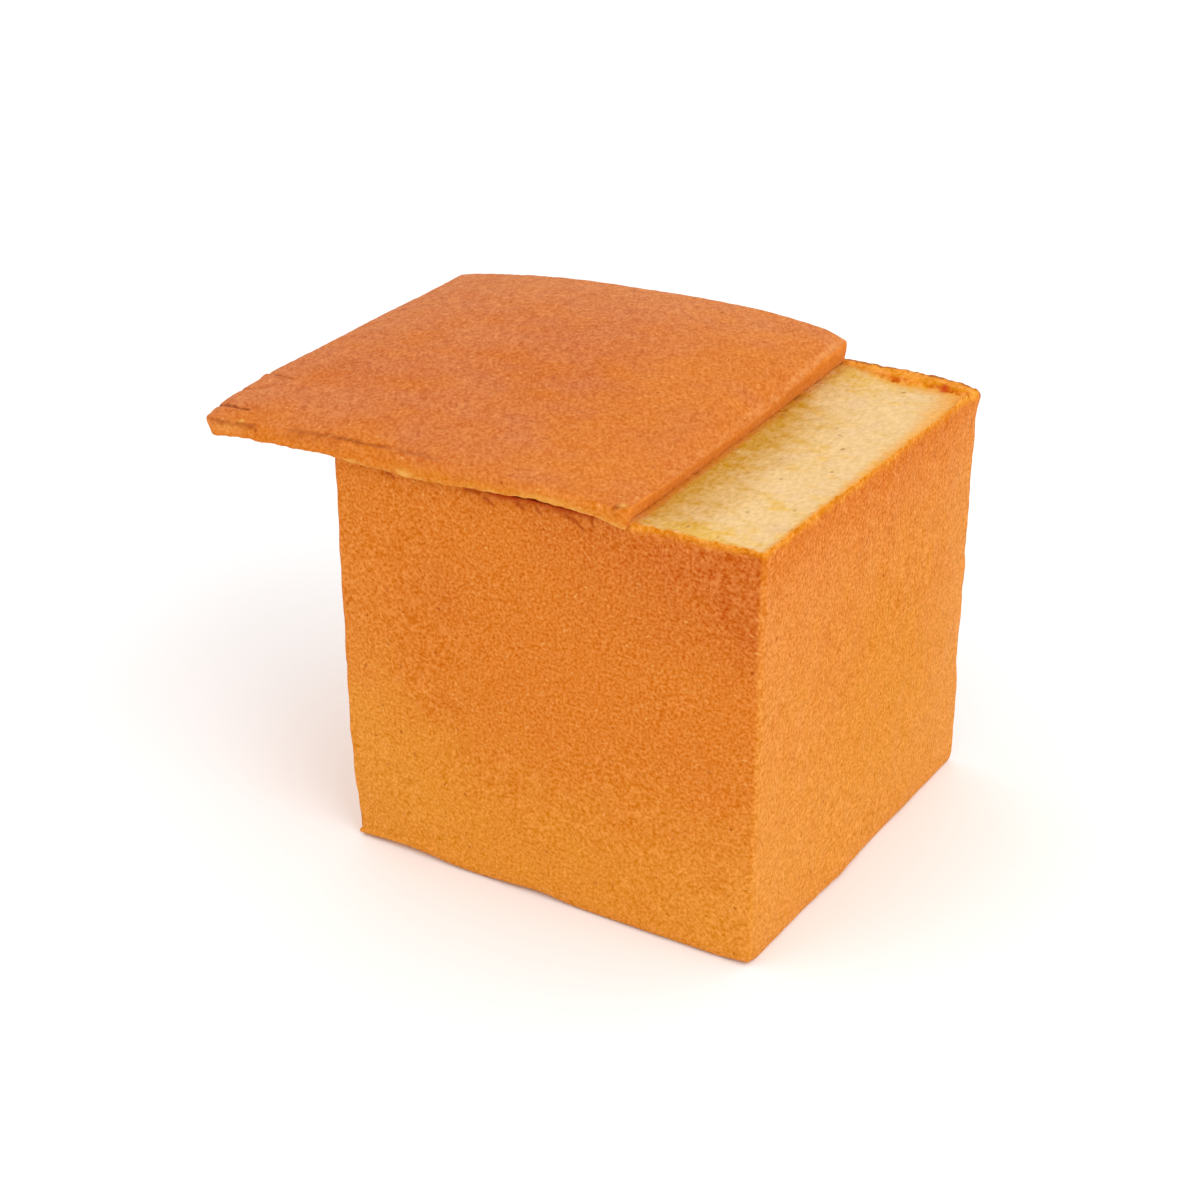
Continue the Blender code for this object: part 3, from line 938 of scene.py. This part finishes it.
# Its sides are golden, mostly near the cut, but for the right-hand one, which is orange. Halfway along,
# that one is orange only near the cut; above, it takes the top's darker colour, partly so that the band
# looks narrower and partly as painted shade against the stronger light on that side.
front_side = eased(own_y, 0.0012 - half_y, 0.0004 - half_y)
back_or_front = eased(abs(own_y), half_y - 0.0012, half_y - 0.0004)
golden_side = most(back_or_front, eased(own_x, 0.0012 - half_x, 0.0004 - half_x))
golden_side = golden_side * eased(rise + 0.0009 * lumps(place, 0.004, 56), 0.0042, 0.0010)
right_side = eased(own_x, half_x - 0.0006, half_x - 0.0001)
halfway = eased(abs(own_y + 0.0020), 0.0420, 0.0220)
right_side = right_side * (1 - 0.85 * halfway * eased(rise, 0.0016, 0.0028))
bake = bake * (1 - golden_side) + (0.10 + 0.30 * eased(own_x, -0.010, 0.015)) * golden_side
dust_and_sheen = dust_and_sheen * (1 - golden_side) * (1 - right_side)
bake = bake * (1 - right_side)
peach = peach * (1 - right_side) * (1 - 0.5 * golden_side) + 0.25 * right_side
peach = peach + front_side * patches((own_x, rise), ((-0.045, 0.0018, 0.0050, 0.0009, 0.45),))
# The grain of the baked top is drawn out a little towards the front right-hand corner.
x, y, z = parts(place)
cos, sin = math.cos(GRAIN_TURN), math.sin(GRAIN_TURN)
drawn = joined(x * cos + y * sin, y * cos - x * sin, z)
crust_tone, crust_relief = crust_colour(drawn, bake, peach, dust_and_sheen, 0.00072, 0.11, (1, 1.6, 1), dust_and_sheen)
crust_tone = blended(crust_tone, CRUST_ORANGE, 0.85 * right_side)
# Along its foot the right-hand side is painted a lighter orange: painted light against the shade where it
# meets the crumb.
crust_tone = blended(crust_tone, CRUST_FOOT_LIGHT, 0.7 * right_side * eased(rise, 0.0026, 0.0))
crust_tone = speckled(crust_tone, right_side * lumps(place, 0.0009, 64, 2.0), 0.11, CRUST_GRAIN)
slice_colour, slice_relief, slice_roughness = cut_bread(
    place, (crust_tone, crust_relief), crumb_colour(place), inside, eased(rise, 0.0, 0.0004)
)

# The crest of the right-hand side is pale here and there, more so towards the back.
crest = eased(abs(own_x + 0.0004 * lumps(level, 0.0020, 58) - (half_x - 0.0012)), 0.0010, 0.0002)
crest = crest * eased(lumps(level, 0.0026, 59) + 12 * own_y, -0.5, 0.9)
slice_colour = blended(slice_colour, CREST_PALE, crest * 0.55)
# The cracks and creases are dark, with breaks.
wavy_x, wavy_y = wavered(own_x, own_y, level)
marks = [
    darkness * lined(wavy_x, wavy_y, start, end, 0.0011, taper)
    for lines, taper in ((CRACKS, CRACK_TAPER), (TOP_CREASES, 0.0))
    for start, end, darkness in lines
]
broken = eased(lumps(level, 0.0018, 57), -1.3, 0.4)
dark = reduce(most, marks) * eased(rise, 0.0012, 0.0024) * broken
shelf = lined(own_x + 0.001 * lumps(level, 0.002, 53), rise, *SIDE_CREASE, 0.0010)
dark = most(dark, 0.65 * shelf * front_side * broken)
slice_colour = blended(slice_colour, CRUST_CRACK, least(dark * 0.85, 0.9))
# The front lip's torn edge is pale.
frayed = rise + 0.0005 * lumps(place, 0.0014, 54) + 0.0007 * lumps(place, 0.0042, 55)
pale_lip = front_side * eased(frayed, 0.0009, 0.0) * eased(own_x, -0.026, -0.018)
pale_lip = pale_lip * eased(lumps(level, 0.0060, 60), -0.9, 0.3)
slice_colour = blended(slice_colour, LIP_PALE, pale_lip * 0.7)
# A few pale crumbs cling to the lip and beside the cracks.
crumbs = patches((own_x, own_y, rise), (
    (-0.0006, -0.0500, 0.0006, 0.0017, 0.0010, 0.0009, 1.0),
    (0.0490, -0.0484, 0.0033, 0.0008, 0.0007, 0.0020, 0.9),
    (-0.0416, -0.0488, 0.0040, 0.0007, 0.0006, 0.0020, 0.9),
    (0.0330, -0.0500, 0.0010, 0.0050, 0.0010, 0.0010, 0.5),
))
slice_colour = blended(slice_colour, LIP_PALE, least(crumbs, 0.9))
slice_relief = slice_relief - 0.0001 * dark + 0.0001 * crumbs
finish_with(slice_finish, slice_colour, slice_relief, slice_roughness)

top_slice = plain_piece(
    "crust_slice", slice_shape(slice_finish), {**SLICE_CELLS, **SLICE_SIZES, **CUT_SIZES}
)
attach(top_slice, "root")
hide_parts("top_slice")

# ------------------------------------------------------------------------------------------------
# The setting: a pale matt floor, one large soft lamp high on the right, a fainter one on the left
# and plain white all round. The camera looks down on the front right-hand corner.

FLOOR_SIDE = 6.0
LAMP_SIDE = 0.9
AIM = Vector((-0.01185, -0.00704, 0.0499))  # near the middle of the loaf and its slice
CAMERA_WAY = (30.72, 26.98)  # degrees round from the front, and up
CAMERA_DISTANCE = 0.5812
LENS_LENGTH = 80  # in millimetres, as is the film's width
FILM_WIDTH = 36

floor_mesh = bpy.data.meshes.new("floor")
side = FLOOR_SIDE / 2
floor_mesh.from_pydata(
    [(-side, -side, 0), (side, -side, 0), (side, side, 0), (-side, side, 0)], [], [(0, 1, 2, 3)]
)
floor = bpy.data.objects.new("floor", floor_mesh)
bpy.context.scene.collection.objects.link(floor)
floor_finish = bpy.data.materials.new("pale_floor")
floor_finish.use_nodes = True
pale = floor_finish.node_tree.nodes["Principled BSDF"]
pale.inputs["Base Color"].default_value = (0.96, 0.96, 0.96, 1.0)
pale.inputs["Roughness"].default_value = 0.9
pale.inputs["Specular IOR Level"].default_value = 0.1
floor_mesh.materials.append(floor_finish)


def direction(azimuth, elevation):
    """The way towards something seen azimuth degrees round from the front and elevation up."""
    azimuth, elevation = math.radians(azimuth), math.radians(elevation)
    return Vector(
        (
            math.sin(azimuth) * math.cos(elevation),
            -math.cos(azimuth) * math.cos(elevation),
            math.sin(elevation),
        )
    )


def soft_lamp(name, azimuth, elevation, distance, power):
    light = bpy.data.lights.new(name, "AREA")
    light.size = LAMP_SIDE
    light.energy = power
    lamp = bpy.data.objects.new(name, light)
    towards = direction(azimuth, elevation)
    lamp.location = AIM + towards * distance
    lamp.rotation_euler = towards.to_track_quat("Z", "Y").to_euler()
    bpy.context.scene.collection.objects.link(lamp)


soft_lamp("key_lamp", 70, 42, 1.2, 4.6)
soft_lamp("fill_lamp", -35, 35, 1.4, 1.8)

world = bpy.data.worlds.new("white_room")
world.use_nodes = True
world.node_tree.nodes["Background"].inputs["Color"].default_value = (1, 1, 1, 1)
world.node_tree.nodes["Background"].inputs["Strength"].default_value = 1.0
bpy.context.scene.world = world
bpy.context.scene.view_settings.view_transform = "Standard"

lens = bpy.data.cameras.new("camera")
lens.lens = LENS_LENGTH
lens.sensor_width = FILM_WIDTH
camera = bpy.data.objects.new("camera", lens)
towards = direction(*CAMERA_WAY)
camera.location = AIM + towards * CAMERA_DISTANCE
camera.rotation_euler = towards.to_track_quat("Z", "Y").to_euler()
bpy.context.scene.collection.objects.link(camera)
bpy.context.scene.camera = camera
